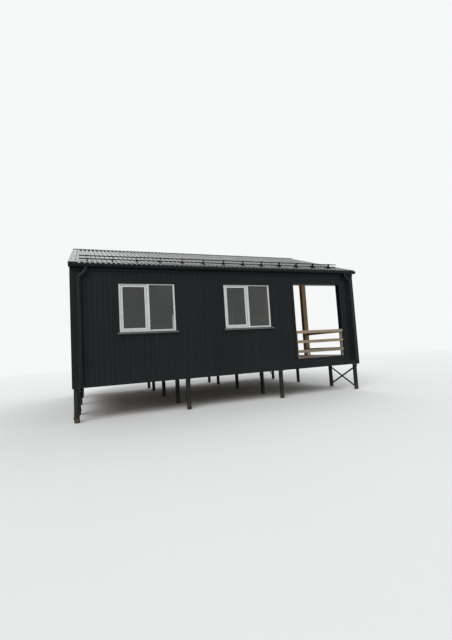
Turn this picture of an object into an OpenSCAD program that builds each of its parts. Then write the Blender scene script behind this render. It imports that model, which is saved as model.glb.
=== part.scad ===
// Cabin of three container modules on screw piles: two rooms' width of closed
// cabin, one module of open terrace, and a gable roof of ribbed sheet over all.

/* [Building] */
// Length along the front wall
body_l = 7320; // [6000:10:9000]
// Depth from the front wall to the back wall
body_d = 6100; // [5000:10:7000]
// Height of the walls above their lower edge
wall_h = 2500; // [2200:10:2900]
// Thickness of an outer wall with its cladding
wall_t = 150; // [100:5:200]
// Height of floor and deck above the walls' lower edge
floor_z = 250; // [200:10:350]
// Thickness of floor and deck
floor_t = 50; // [20:5:60]
// Thickness of the room's ceiling
ceiling_t = 60; // [20:5:100]

/* [Cladding] */
// Depth of the wall cladding with its ribs
clad_t = 10; // [6:1:20]
// Thickness of the cladding between its ribs
clad_skin = 2; // [1:0.5:5]
// Distance between two ribs of every sheet
rib_pitch = 106.67; // [80:0.01:200]
// Width of a wall rib's flat top
wall_crest = 58; // [30:1:80]
// Width of a wall rib's slope
wall_slope = 7; // [2:1:20]
// Leg of the corner trims
corner_w = 60; // [40:5:120]
// Thickness of the corner trims
corner_t = 2; // [1:0.5:4]

/* [Base] */
// Free height of the piles under the walls
pile_h = 700; // [300:10:1200]
// Diameter of a pile
pile_d = 108; // [76:1:133]
// Distance of the outer piles' axes from the end walls' faces
pile_in_x = 75; // [65:5:200]
// Distance of the outer piles' axes from the long walls' faces
pile_in_y = 120; // [75:5:300]
// Width of a pile's square cap
pile_cap_w = 130; // [120:5:250]
// Thickness of a pile's cap
pile_cap_t = 8; // [5:1:12]
// Distance of the second pile from the corner pile
pile_step = 1080; // [800:10:2000]
// Height of the base frame
frame_h = 200; // [120:10:250]
// Width of a base frame rail
rail_w = 80; // [50:5:120]
// Height of a floor joist
joist_h = 120; // [60:10:200]
// Width of a floor joist
joist_w = 50; // [40:5:80]
// Number of floor joists in each module
joist_n = 9; // [6:1:14]
// Width of a bracing bar
brace_w = 45; // [30:5:60]
// Thickness of a bracing bar
brace_t = 6; // [4:1:10]

/* [Roof] */
// Slope of the roof in degrees
roof_a = 20.5; // [10:0.5:35]
// Height of a truss's heel over the wall
heel_h = 87; // [60:1:300]
// Reach of the sheets past the front wall
eave_over = 80; // [40:5:300]
// Reach of the sheets past the end walls
verge_over = 20; // [0:5:200]
// Height of a roof rib
rib_h = 21; // [10:1:40]
// Thickness of the roof sheet
sheet_t = 1.2; // [0.5:0.1:2]
// Width of a roof rib's flat top
roof_crest = 40; // [20:1:60]
// Width of a roof rib's slope
roof_slope = 12; // [5:1:30]
// Height of an eave board
eave_h = 160; // [100:5:250]
// Thickness of an eave board
eave_t = 20; // [15:1:30]
// Width of each side of the ridge cap
ridge_cap_w = 180; // [120:5:300]
// Rise of the ridge cap's fold over the sheets' ribs
ridge_cap_h = 12; // [0:1:40]
// Thickness of bent trims
trim_t = 1.5; // [0.5:0.1:3]
// Width of a batten
batten_w = 100; // [50:5:150]
// Thickness of a batten
batten_t = 25; // [20:1:50]
// Number of battens on each slope
batten_n = 9; // [5:1:14]
// Number of trusses over the room
truss_n = 4; // [2:1:8]
// Number of rafter pairs over the terrace
rafter_n = 3; // [2:1:5]
// Depth of a rafter
rafter_h = 145; // [100:5:200]
// Height of the collar ties' lower edge over the walls
collar_up = 570; // [450:10:800]
// Height of a collar tie
collar_h = 120; // [80:5:180]
// Thickness of a truss
truss_w = 45; // [35:5:70]
// Height of the truss chords
chord_h = 80; // [60:5:150]
// Thickness of a gable panel
gable_t = 100; // [60:5:150]

/* [Windows] */
// Width of a window
win_w = 1230; // [800:10:1500]
// Height of a window
win_h = 1078; // [800:2:1400]
// Height of a window's lower edge
win_z = 1109; // [800:1:1300]
// Shift of a window from its module's middle
win_shift = 360; // [-400:10:400]
// Visible width of the window frame
win_frame = 38; // [30:1:80]
// Width of the mullion
win_mullion = 54; // [40:1:90]
// Visible width of the sash
win_sash = 45; // [35:1:70]
// Width of the opening sash
sash_w = 560; // [400:10:700]
// Depth of the window frame
win_depth = 60; // [50:5:90]
// Setback of the window from the wall's face
win_set = 5; // [0:1:60]
// Width of the flat trims round windows and terrace openings
casing_w = 70; // [40:5:120]
// Thickness of the flat trims
casing_t = 3; // [1:0.5:10]
// Part of the window frame's head behind the flat trim
casing_over = 20; // [0:1:30]
// Reach of the window sill out of the wall
sill_out = 55; // [30:5:100]
// Drop of the sill's back edge under the window
sill_drop = 12; // [4:1:20]
// Height of the sill's front lip
sill_lip = 20; // [10:1:40]

/* [Terrace] */
// Width of the opening in the terrace's front wall
open_w = 1470; // [900:10:1800]
// Height of the opening's lower edge
open_z = 260; // [250:5:400]
// Height of the wall over the opening's head
open_over = 300; // [200:10:500]
// Width of a terrace post
post_w = 150; // [90:5:200]
// Distance of the first post's front face from the front wall
post_y = 2280; // [1900:10:2600]
// Height of a railing board
rail_board = 75; // [50:5:150]
// Thickness of a railing board
rail_board_t = 30; // [20:5:50]
// Height of the top board's middle
rail_top = 942; // [800:2:1200]
// Distance between railing boards
rail_step = 252; // [100:2:300]
// Width of the door's opening
door_w = 900; // [700:10:1000]
// Height of the wall over the door's head
door_over = 200; // [150:10:400]
// Height of the door handle over the floor
handle_z = 1040; // [900:10:1150]
// Distance of the door handle from the opening's side
handle_y = 120; // [90:5:200]

/* [Rainwater] */
// Outer radius of the half round gutter
gutter_r = 62.5; // [50:0.5:80]
// Thickness of gutter and pipe walls
gutter_t = 1.5; // [0.5:0.1:3]
// Drop of the gutter's rim under the sheet's pan at the wall's face
gutter_drop = 54; // [40:1:80]
// Outer diameter of a downpipe
pipe_d = 90; // [75:1:110]
// Distance of a downpipe from the building's corner
pipe_x = 180; // [120:5:400]
// Distance of a gutter outlet from the building's corner
outlet_x = 320; // [200:5:600]
// Diameter of an outlet's hole in the gutter
outlet_d = 60; // [50:1:80]
// Centre line radius of a pipe bend
bend_r = 90; // [60:5:150]
// Height of a downpipe's lower end
pipe_z = 115; // [50:5:400]

/* [Snow guard] */
// Diameter of a snow guard tube
guard_d = 25; // [20:1:32]
// Distance of the tubes from the wall's face along the slope
guard_s = 320; // [200:10:900]
// Distance of the tubes' left ends from the end wall's face
guard_x = 190; // [100:5:400]
// Reach of the tubes past the last bracket
guard_past = 250; // [100:10:400]
// Height of the lower tube over the sheet's pan
guard_z = 52; // [45:1:80]
// Distance between the two tubes
guard_h = 66; // [45:1:90]
// Length of a bracket's foot
guard_foot_l = 300; // [150:5:350]
// Width of a bracket's foot
guard_foot_w = 30; // [20:1:38]
// Width of a bracket's upright
guard_up_w = 76; // [50:2:120]
// Number of ribs between two brackets
guard_ribs = 5; // [3:1:8]

/* [Fits] */
// Clearance of pieces set into each other
fit = 0.3; // [0.1:0.1:1]

/* [Hidden] */
$fn = 32;
mod_l = body_l / 3;
room_l = 2 * mod_l;
floor_base = floor_z - floor_t;
rib_n = round((body_l + 2 * verge_over) / rib_pitch);
roof_l = body_l + 2 * verge_over;
roof_p = roof_l / rib_n;
ridge_s = body_d / 2 / cos(roof_a);
heel_z = wall_h + heel_h;
roof_z = heel_z + batten_t / cos(roof_a);
eave_top = roof_z - eave_t * tan(roof_a) - 5;
eave_z = eave_top - eave_h;
gutter_y = -eave_t - fit - gutter_r;
gutter_z = roof_z - gutter_drop;
bend_z = gutter_z - gutter_r - 30;
top_z = heel_z + body_d / 2 * tan(roof_a);
crest_n = rib_h + sheet_t;
rafter_z = heel_z - rafter_h / cos(roof_a);
collar_z = wall_h + collar_up;
guard_n = floor((rib_n - 7) / guard_ribs) + 1;
open_head = wall_h - open_over;
door_h = wall_h - floor_z - door_over;
rail_x = [[clad_t, 1], [mod_l - rail_w, 2], [2 * mod_l - rail_w, 2], [body_l - clad_t - rail_w, 1]];
win_x = [for (i = [0, 1]) (i + 0.5) * mod_l + win_shift - win_w / 2];
open_x = 2.5 * mod_l - open_w / 2;
pile_x = [pile_in_x, mod_l, 2 * mod_l, body_l - pile_in_x];
pile_half = [pile_in_y, pile_in_y + pile_step];
pile_y = concat(pile_half, [body_d / 2], [for (y = pile_half) body_d - y]);
post_ys = [post_y, body_d - post_y - post_w];
rail_zs = [for (i = [0 : 2]) rail_top - i * rail_step - rail_board / 2];

// Moves the building's own axes, with the corner of the front wall's lower edge
// at nought, to the middle of the floor under the piles.
module place() {
    translate([-body_l / 2, -body_d / 2, pile_h])
        children();
}

// The piece at the back, as seen in a mirror.
module at_back() {
    translate([0, body_d, 0])
        mirror([0, 1, 0])
            children();
}

module both_sides() {
    children();
    at_back()
        children();
}

// Slope axes: along the building, up the slope, and out of the roof.
module on_slope(z) {
    translate([0, 0, z])
        rotate([roof_a, 0, 0])
            children();
}

// A point of the roof's section, s up the slope and n out of it.
function slope_pt(s, n) = [s * cos(roof_a) - n * sin(roof_a),
    roof_z + s * sin(roof_a) + n * cos(roof_a)];

// Height of the line n over the pan at the ridge.
function ridge_at(n) = roof_z + body_d / 2 * tan(roof_a) + n / cos(roof_a);

module section_x(length) {
    rotate([90, 0, 90])
        linear_extrude(length)
            children();
}

module piles() {
    color("dimgray")
        place()
            for (x = pile_x, y = pile_y)
                translate([x, y, -pile_h]) {
                    cylinder(d = pile_d, h = pile_h - pile_cap_t);
                    translate([-pile_cap_w / 2, -pile_cap_w / 2, pile_h - pile_cap_t])
                        cube([pile_cap_w, pile_cap_w, pile_cap_t]);
                }
}

module brace_bar(x, rise) {
    drop = pile_h - 160;
    length = norm([pile_step, drop]);
    translate([x, pile_step / 2, -60 - drop / 2])
        rotate([rise * atan(drop / pile_step), 0, 0])
            translate([0, -length / 2 - 40, -brace_w / 2])
                cube([brace_t, length + 80, brace_w]);
}

// Crossed bars on the two sides of the end row of piles.
module pile_bracing() {
    reach = pile_d / 2 + fit;
    color("dimgray")
        place()
            both_sides()
                for (x = [pile_x[0], pile_x[3]])
                    translate([x, pile_y[0], 0]) {
                        brace_bar(reach, -1);
                        brace_bar(-reach - brace_t, 1);
                    }
}

// Rails round each module, doubled where two modules meet.
module base_frame() {
    color("dimgray")
        place() {
            for (r = rail_x)
                translate([r[0], clad_t, 0])
                    cube([r[1] * rail_w, body_d - 2 * clad_t, frame_h]);
            both_sides()
                translate([clad_t, clad_t, 0])
                    cube([body_l - 2 * clad_t, rail_w, frame_h]);
        }
}

module floor_joists() {
    step = (body_d - 2 * clad_t - joist_w) / (joist_n + 1);
    color("dimgray")
        place()
            for (m = [0 : 2], i = [1 : joist_n]) {
                x = rail_x[m][0] + rail_x[m][1] * rail_w;
                translate([x, clad_t + i * step, frame_h - joist_h])
                    cube([rail_x[m + 1][0] - x, joist_w, joist_h]);
            }
}

module room_floor() {
    color("burlywood")
        place()
            translate([wall_t, wall_t, floor_base])
                cube([room_l - 2 * wall_t, body_d - 2 * wall_t, floor_t]);
}

module terrace_deck() {
    color("peru")
        place()
            translate([room_l, wall_t, floor_base])
                cube([mod_l - clad_t, body_d - 2 * wall_t, floor_t]);
}

module window_holes(depth, places) {
    for (x = places)
        translate([x, -1, win_z])
            cube([win_w, depth + 2, win_h]);
}

module terrace_hole(depth) {
    translate([open_x, -1, open_z])
        cube([open_w, depth + 2, open_head - open_z]);
}

module long_wall(places) {
    difference() {
        translate([clad_t, clad_t, frame_h])
            cube([room_l - clad_t, wall_t - clad_t, wall_h - frame_h]);
        window_holes(wall_t, places);
    }
}

module front_wall() {
    color("gainsboro")
        place()
            long_wall(win_x);
}

module back_wall() {
    color("gainsboro")
        place()
            at_back()
                long_wall([win_x[1]]);
}

module left_wall() {
    color("gainsboro")
        place()
            translate([clad_t, wall_t, frame_h])
                cube([wall_t - clad_t, body_d - 2 * wall_t, wall_h - frame_h]);
}

// Wall between room and terrace, with the door's opening.
module terrace_wall() {
    color("gainsboro")
        place()
            difference() {
                translate([room_l - wall_t, wall_t, frame_h])
                    cube([wall_t, body_d - 2 * wall_t, wall_h - frame_h]);
                translate([room_l - wall_t - 1, (body_d - door_w) / 2, floor_z])
                    cube([wall_t + 2, door_w, door_h]);
            }
}

module open_wall() {
    difference() {
        translate([room_l, clad_t, frame_h])
            cube([mod_l - clad_t, wall_t - clad_t, wall_h - frame_h]);
        terrace_hole(wall_t);
    }
}

module terrace_front_wall() {
    color("gainsboro")
        place()
            open_wall();
}

module terrace_back_wall() {
    color("gainsboro")
        place()
            at_back()
                open_wall();
}

module truss_outline() {
    polygon([[0, wall_h], [body_d, wall_h], [body_d, heel_z], [body_d / 2, top_z], [0, heel_z]]);
}

// Panels over the left wall and over the wall between room and terrace.
module gables() {
    color("silver")
        place()
            for (x = [clad_t, room_l - gable_t])
                translate([x, 0, 0])
                    section_x(gable_t)
                        truss_outline();
}

// Outline of a ribbed wall sheet, flat behind and ribbed in front.
module sheet_outline(length) {
    n = round(length / rib_pitch);
    p = length / n;
    edge = (p - wall_crest) / 2;
    ribs = [for (i = [0 : n - 1]) each [
        [i * p + edge - wall_slope, clad_skin],
        [i * p + edge, clad_t],
        [(i + 1) * p - edge, clad_t],
        [(i + 1) * p - edge + wall_slope, clad_skin]
    ]];
    polygon(concat([[0, 0], [0, clad_skin]], ribs, [[length, clad_skin], [length, 0]]));
}

module long_cladding(places) {
    difference() {
        translate([0, clad_t, 0])
            mirror([0, 1, 0])
                linear_extrude(wall_h)
                    sheet_outline(body_l);
        window_holes(clad_t, places);
        terrace_hole(clad_t);
    }
}

module front_cladding() {
    color("darkslategray")
        place()
            long_cladding(win_x);
}

module back_cladding() {
    color("darkslategray")
        place()
            at_back()
                long_cladding([win_x[1]]);
}

// An end's sheet with its back at x and its ribs to the left, cut to the gable.
module end_cladding(x) {
    intersection() {
        translate([x, clad_t, 0])
            rotate([0, 0, 90])
                linear_extrude(top_z)
                    sheet_outline(body_d - 2 * clad_t);
        translate([x - clad_t - 1, 0, 0])
            section_x(clad_t + 2)
                polygon([[0, 0], [body_d, 0], [body_d, heel_z], [body_d / 2, top_z], [0, heel_z]]);
    }
}

module left_cladding() {
    color("darkslategray")
        place()
            end_cladding(clad_t);
}

// The right end is open over the deck, up to the roof.
module right_cladding() {
    color("darkslategray")
        place()
            difference() {
                translate([body_l, 0, 0])
                    mirror([1, 0, 0])
                        end_cladding(clad_t);
                translate([body_l - clad_t - 1, wall_t, floor_z])
                    cube([clad_t + 2, body_d - 2 * wall_t, top_z - floor_z]);
            }
}

module terrace_cladding() {
    width = body_d - 2 * wall_t;
    color("darkslategray")
        place()
            difference() {
                intersection() {
                    translate([room_l, body_d - wall_t, floor_z])
                        rotate([0, 0, -90])
                            linear_extrude(top_z - floor_z)
                                sheet_outline(width);
                    translate([room_l - 1, 0, 0])
                        section_x(clad_t + 2)
                            polygon([[0, 0], [body_d, 0], [body_d, heel_z],
                                [body_d / 2, top_z], [0, heel_z]]);
                }
                translate([room_l - 1, (body_d - door_w) / 2, floor_z - 1])
                    cube([clad_t + 2, door_w, door_h + 1]);
            }
}

module corner_trims() {
    color("darkslategray")
        place()
            both_sides()
                for (m = [0, 1])
                    translate([m * body_l, 0, 0])
                        mirror([m, 0, 0])
                            linear_extrude(eave_z - fit)
                                difference() {
                                    translate([-corner_t, -corner_t])
                                        square(corner_w + corner_t);
                                    square(corner_w + 1);
                                }
}

module ceiling() {
    color("white")
        place()
            translate([wall_t, wall_t, wall_h - ceiling_t])
                cube([room_l - 2 * wall_t, body_d - 2 * wall_t, ceiling_t]);
}

module roof_trusses() {
    step = (room_l - clad_t - 2 * gable_t - truss_w) / (truss_n + 1);
    low = wall_h + chord_h;
    inner = heel_z - chord_h / cos(roof_a);
    toe = (low - inner) / tan(roof_a);
    color("burlywood")
        place()
            for (i = [1 : truss_n])
                translate([clad_t + gable_t + i * step, 0, 0])
                    section_x(truss_w) {
                        difference() {
                            truss_outline();
                            polygon([[toe, low], [body_d - toe, low],
                                [body_d / 2, inner + body_d / 2 * tan(roof_a)]]);
                        }
                        translate([(body_d - chord_h) / 2, wall_h + chord_h / 2])
                            square([chord_h, top_z - wall_h - chord_h]);
                    }
}

// Rafter pairs with a collar tie, seated on the walls of the terrace.
module terrace_rafters() {
    first = room_l + clad_t;
    step = (body_l - clad_t - truss_w - first) / rafter_n;
    toe = (wall_h - rafter_z) / tan(roof_a);
    color("burlywood")
        place()
            for (i = [1 : rafter_n])
                translate([first + i * step, 0, 0])
                    section_x(truss_w) {
                        difference() {
                            truss_outline();
                            polygon([[toe, wall_h - 1], [toe, wall_h],
                                [body_d / 2, rafter_z + body_d / 2 * tan(roof_a)],
                                [body_d - toe, wall_h], [body_d - toe, wall_h - 1]]);
                        }
                        intersection() {
                            truss_outline();
                            translate([0, collar_z])
                                square([body_d, collar_h]);
                        }
                    }
}

module roof_battens() {
    step = (ridge_s - 20 - batten_w) / (batten_n - 1);
    color("burlywood")
        place()
            both_sides()
                on_slope(heel_z)
                    for (i = [0 : batten_n - 1])
                        translate([0, 10 + i * step, 0])
                            cube([body_l, batten_w, batten_t]);
}

// Section of the roof sheet, of one thickness all along.
module roof_outline() {
    e = sheet_t * tan(atan(rib_h / roof_slope) / 2);
    edge = (roof_p - roof_crest) / 2;
    under = [for (i = [0 : rib_n - 1]) each [
        [i * roof_p + edge - roof_slope, 0],
        [i * roof_p + edge, rib_h],
        [(i + 1) * roof_p - edge, rib_h],
        [(i + 1) * roof_p - edge + roof_slope, 0]
    ]];
    over = [for (i = [rib_n - 1 : -1 : 0]) each [
        [(i + 1) * roof_p - edge + roof_slope + e, sheet_t],
        [(i + 1) * roof_p - edge + e, crest_n],
        [i * roof_p + edge - e, crest_n],
        [i * roof_p + edge - roof_slope - e, sheet_t]
    ]];
    polygon(concat([[0, 0]], under, [[roof_l, 0], [roof_l, sheet_t]], over, [[0, sheet_t]]));
}

module roof_sheet() {
    low = eave_over / cos(roof_a);
    on_slope(roof_z)
        translate([-verge_over, ridge_s - 12, 0])
            rotate([90, 0, 0])
                linear_extrude(ridge_s - 12 + low)
                    roof_outline();
}

module front_roof() {
    color("slategray")
        place()
            roof_sheet();
}

module back_roof() {
    color("slategray")
        place()
            at_back()
                roof_sheet();
}

module ridge_cap() {
    n1 = crest_n + fit / 2;
    n2 = n1 + trim_t;
    rise = ridge_cap_h;
    low1 = slope_pt(ridge_s - ridge_cap_w, n1);
    low2 = slope_pt(ridge_s - ridge_cap_w, n2);
    color("slategray")
        place()
            translate([-verge_over, 0, 0])
                section_x(roof_l)
                    polygon([low1, low2, [body_d / 2, ridge_at(n2) + rise],
                        [body_d - low2[0], low2[1]], [body_d - low1[0], low1[1]],
                        [body_d / 2, ridge_at(n1) + rise]]);
}

// Bent trims that cover the sheets' side edges and the battens' ends.
module verge_trims() {
    low = eave_over / cos(roof_a);
    color("lightgray")
        place()
            both_sides()
                for (m = [0, 1])
                    translate([m * body_l, 0, 0])
                        mirror([m, 0, 0])
                            on_slope(roof_z) {
                                translate([-verge_over - trim_t, -low, crest_n + fit / 2])
                                    cube([verge_over + 110, ridge_s - ridge_cap_w - 1 + low, trim_t]);
                                translate([-verge_over - trim_t, -low, -60])
                                    cube([trim_t, ridge_s + low, crest_n + 60 + fit / 2 + trim_t]);
                            }
}

module eave_boards() {
    color("darkslategray")
        place()
            both_sides()
                translate([0, -eave_t, eave_z])
                    cube([body_l, eave_t, eave_h]);
}

module gutter_shape(r) {
    intersection() {
        circle(r);
        translate([-r - 1, -r - 1])
            square([2 * r + 2, r + 1]);
    }
}

// Half round gutters with end caps and an outlet hole over each pipe.
module gutters() {
    color("darkslategray")
        place()
            both_sides()
                translate([-verge_over, gutter_y, gutter_z])
                    difference() {
                        section_x(roof_l)
                            gutter_shape(gutter_r);
                        translate([gutter_t, 0, 1])
                            section_x(roof_l - 2 * gutter_t)
                                gutter_shape(gutter_r - gutter_t);
                        for (x = [outlet_x, body_l - outlet_x])
                            translate([x + verge_over, 0, -gutter_r - 5])
                                cylinder(d = outlet_d, h = gutter_r);
                    }
}

module bend(x, z, a, r) {
    translate([x, 0, z])
        rotate([90, 0, 0])
            rotate([0, 0, a])
                rotate_extrude(angle = 45)
                    translate([bend_r, 0])
                        circle(r);
}

// The pipe's run from the outlet, out to the corner and down, as a solid of
// radius r, wider in its bends by wide and longer at both ends by more.
module pipe_run(r, wide, more) {
    k = bend_r * sin(45);
    lap = 6;
    slant = (outlet_x - pipe_x - 2 * (bend_r - k)) / sin(45);
    z1 = bend_z;
    x2 = outlet_x - bend_r + k;
    z2 = z1 - k;
    x3 = x2 - slant * sin(45);
    z3 = z2 - slant * sin(45);
    translate([outlet_x, 0, z1 - lap])
        cylinder(r = r, h = 45 + lap + more);
    bend(outlet_x - bend_r, z1, -45, r + wide);
    translate([x2 + lap * sin(45), 0, z2 + lap * sin(45)])
        rotate([0, 225, 0])
            cylinder(r = r, h = slant + 2 * lap);
    bend(x3 + k, z3 - k, 135, r + wide);
    translate([pipe_x, 0, pipe_z - more])
        cylinder(r = r, h = z3 - k - pipe_z + lap + more);
}

module downpipe() {
    high = bend_z - outlet_x + pipe_x - 2 * bend_r;
    low = pipe_z + 185;
    translate([0, gutter_y, 0])
        difference() {
            union() {
                pipe_run(pipe_d / 2, 2, 0);
                for (z = [low, (low + high) / 2, high])
                    translate([pipe_x, 0, z]) {
                        cylinder(r = pipe_d / 2 + 2.5, h = 30);
                        translate([-6, pipe_d / 2 - 1, 5])
                            cube([12, -gutter_y - pipe_d / 2 + 1, 20]);
                    }
            }
            pipe_run(pipe_d / 2 - gutter_t, 0.7, 1);
            translate([0, 0, gutter_z])
                rotate([0, 90, 0])
                    cylinder(r = gutter_r + fit, h = 2 * outlet_x);
        }
}

module downpipes() {
    color("darkslategray")
        place()
            both_sides()
                for (m = [0, 1])
                    translate([m * body_l, 0, 0])
                        mirror([m, 0, 0])
                            downpipe();
}

// Places of the snow guards' tubes, one above the other.
module at_guard_tubes() {
    for (n = [guard_z, guard_z + guard_h])
        translate([guard_x, guard_s, n])
            rotate([0, 90, 0])
                children();
}

module guard_tubes() {
    last = -verge_over + (3.5 + (guard_n - 1) * guard_ribs) * roof_p;
    color("gray")
        place()
            both_sides()
                on_slope(roof_z)
                    at_guard_tubes()
                        cylinder(d = guard_d, h = last + guard_past - guard_x);
}

// Plates that stand on every fifth rib, with a hole for each tube.
module guard_brackets() {
    half = guard_foot_l / 2;
    up = guard_up_w;
    top = guard_z + guard_h + 0.8 * guard_d - crest_n;
    color("gray")
        place()
            both_sides()
                on_slope(roof_z)
                    difference() {
                        for (i = [0 : guard_n - 1])
                            translate([-verge_over + (3.5 + i * guard_ribs) * roof_p, guard_s,
                                crest_n + fit / 2]) {
                                translate([-guard_foot_w / 2, -half, 0])
                                    cube([guard_foot_w, guard_foot_l, 3]);
                                translate([-2, 0, 0])
                                    rotate([90, 0, 90])
                                        linear_extrude(4)
                                            polygon([[-half, 0], [half, 0], [half, 10],
                                                [0.62 * up, 34], [0.4 * up, top],
                                                [-0.4 * up, top], [-0.62 * up, 34],
                                                [-half, 10]]);
                            }
                        at_guard_tubes()
                            cylinder(d = guard_d + 2 * fit, h = body_l);
                    }
}

// Repeats a window's piece at the two windows in front and the one at the back.
module at_windows() {
    for (x = win_x)
        translate([x, 0, win_z])
            children();
    at_back()
        translate([win_x[1], 0, win_z])
            children();
}

module window_frames() {
    right = win_frame + sash_w + win_mullion;
    color("white")
        place()
            at_windows()
                difference() {
                    translate([fit, win_set, fit])
                        cube([win_w - 2 * fit, win_depth, win_h - 2 * fit]);
                    translate([win_frame, 0, win_frame])
                        cube([sash_w, win_depth + 10, win_h - 2 * win_frame]);
                    translate([right, 0, win_frame])
                        cube([win_w - right - win_frame, win_depth + 10, win_h - 2 * win_frame]);
                }
}

module window_sashes() {
    color("white")
        place()
            at_windows()
                translate([win_frame + fit, win_set + 14, win_frame + fit])
                    difference() {
                        cube([sash_w - 2 * fit, win_depth - 8, win_h - 2 * win_frame - 2 * fit]);
                        translate([win_sash, -1, win_sash])
                            cube([sash_w - 2 * fit - 2 * win_sash, win_depth,
                                win_h - 2 * win_frame - 2 * fit - 2 * win_sash]);
                    }
}

module window_glass() {
    left = win_frame + win_sash + 2 * fit;
    right = win_frame + sash_w + win_mullion + fit;
    color("lightblue")
        place()
            at_windows() {
                translate([left, win_set + 30, left])
                    cube([sash_w - 2 * win_sash - 4 * fit, 24, win_h - 2 * left]);
                translate([right, win_set + 16, win_frame + fit])
                    cube([win_w - right - win_frame - fit, 24, win_h - 2 * win_frame - 2 * fit]);
            }
}

module window_sills() {
    back = sill_drop + 16;
    front = sill_drop + 10;
    color("gray")
        place()
            at_windows()
                translate([-50, -casing_t - fit / 2, 0])
                    section_x(win_w + 100)
                        polygon([[0, 0], [0, -back], [-2, -back], [-2, -sill_drop - 2],
                            [-sill_out, -front - 2], [-sill_out, -front - sill_lip],
                            [-sill_out - 2, -front - sill_lip], [-sill_out - 2, -front],
                            [-2, -sill_drop], [-2, 0]]);
}

module casing(w, h, over) {
    difference() {
        translate([-casing_w, -casing_t, -casing_w])
            cube([w + 2 * casing_w, casing_t, h + 2 * casing_w]);
        translate([0, -casing_t - 1, 0])
            cube([w, casing_t + 2, h - over]);
    }
}

module window_trims() {
    color("darkslategray")
        place()
            at_windows()
                casing(win_w, win_h, casing_over);
}

module opening_trims() {
    color("darkslategray")
        place()
            both_sides()
                translate([open_x, 0, open_z])
                    casing(open_w, open_head - open_z, 0);
}

// Pieces of the door in the wall between room and terrace.
module at_door() {
    translate([room_l, (body_d - door_w) / 2, floor_z])
        children();
}

module door_frame() {
    color("white")
        place()
            at_door()
                difference() {
                    translate([-80, fit, 0])
                        cube([90, door_w - 2 * fit, door_h - fit]);
                    translate([-81, 60, 20])
                        cube([92, door_w - 120, door_h - 80]);
                }
}

module door_leaf() {
    color("white")
        place()
            at_door()
                translate([-60, 60 + fit, 20 + fit])
                    cube([60, door_w - 120 - 2 * fit, door_h - 80 - 2 * fit]);
}

module door_handle() {
    color("silver")
        place()
            at_door()
                translate([0, handle_y, handle_z]) {
                    translate([fit, -18, -150])
                        cube([8, 36, 220]);
                    translate([fit, 0, 0])
                        rotate([0, 90, 0])
                            cylinder(d = 18, h = 50);
                    translate([50 - 9, 0, 0])
                        rotate([-90, 0, 0])
                            cylinder(d = 18, h = 120);
                }
}

module terrace_posts() {
    color("tan")
        place()
            for (y = post_ys)
                translate([body_l - clad_t - post_w, y, floor_z])
                    cube([post_w, post_w, collar_z - floor_z]);
}

// Three boards on two uprights, set in the front opening.
module opening_railing() {
    w = open_w - 2 * fit;
    translate([open_x + fit, 5, 0]) {
        for (z = rail_zs)
            translate([0, 0, z])
                cube([w, rail_board_t, rail_board]);
        for (x = [0, w - 45])
            translate([x, rail_board_t, open_z])
                cube([45, 45, rail_top + rail_board / 2 - open_z]);
    }
}

module front_railing() {
    color("tan")
        place()
            opening_railing();
}

module back_railing() {
    color("tan")
        place()
            at_back()
                opening_railing();
}

// Boards between the corners and the posts of the open end.
module right_railing() {
    color("tan")
        place()
            both_sides()
                for (z = rail_zs)
                    translate([body_l - clad_t - (post_w + rail_board_t) / 2, wall_t + fit, z])
                        cube([rail_board_t, post_y - wall_t - 2 * fit, rail_board]);
}

piles();
pile_bracing();
base_frame();
floor_joists();
room_floor();
terrace_deck();
front_wall();
back_wall();
left_wall();
terrace_wall();
terrace_front_wall();
terrace_back_wall();
gables();
front_cladding();
back_cladding();
left_cladding();
right_cladding();
terrace_cladding();
corner_trims();
ceiling();
roof_trusses();
terrace_rafters();
roof_battens();
front_roof();
back_roof();
ridge_cap();
verge_trims();
eave_boards();
gutters();
downpipes();
guard_tubes();
guard_brackets();
window_frames();
window_sashes();
window_glass();
window_sills();
window_trims();
opening_trims();
door_frame();
door_leaf();
door_handle();
terrace_posts();
front_railing();
back_railing();
right_railing();
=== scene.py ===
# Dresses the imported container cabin: a finish for every CAD piece, and the deck
# boards, screws, seals, hooks and fittings that the source leaves to this file.
# Pieces are in millimetres from the front wall's lower left corner, finishes in
# metres from the cabin's own origin.
from math import cos, radians, sin, tan

import bmesh
import bpy
from mathutils import Matrix, Vector


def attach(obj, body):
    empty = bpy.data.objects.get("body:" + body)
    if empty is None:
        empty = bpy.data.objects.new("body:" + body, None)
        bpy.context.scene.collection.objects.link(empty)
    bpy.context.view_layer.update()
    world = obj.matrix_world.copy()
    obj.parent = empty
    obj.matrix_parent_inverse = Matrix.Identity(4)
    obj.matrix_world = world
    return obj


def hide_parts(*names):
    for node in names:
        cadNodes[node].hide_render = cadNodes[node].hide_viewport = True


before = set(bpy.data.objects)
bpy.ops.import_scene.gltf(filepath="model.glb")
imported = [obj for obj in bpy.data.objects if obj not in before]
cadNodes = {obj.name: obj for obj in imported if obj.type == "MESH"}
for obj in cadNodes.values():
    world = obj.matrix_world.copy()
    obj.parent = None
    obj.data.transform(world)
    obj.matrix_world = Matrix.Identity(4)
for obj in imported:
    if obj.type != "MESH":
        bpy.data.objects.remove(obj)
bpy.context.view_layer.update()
print("frame loaded:", len(cadNodes), "nodes")


def mathNode(operation, turned=False):
    # a method that adds one Math node; turned puts the other value first
    def method(self, *others):
        values = (*others, self) if turned else (self, *others)
        return self.graph.add("ShaderNodeMath", {"operation": operation}, dict(enumerate(values)))

    return method


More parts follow.
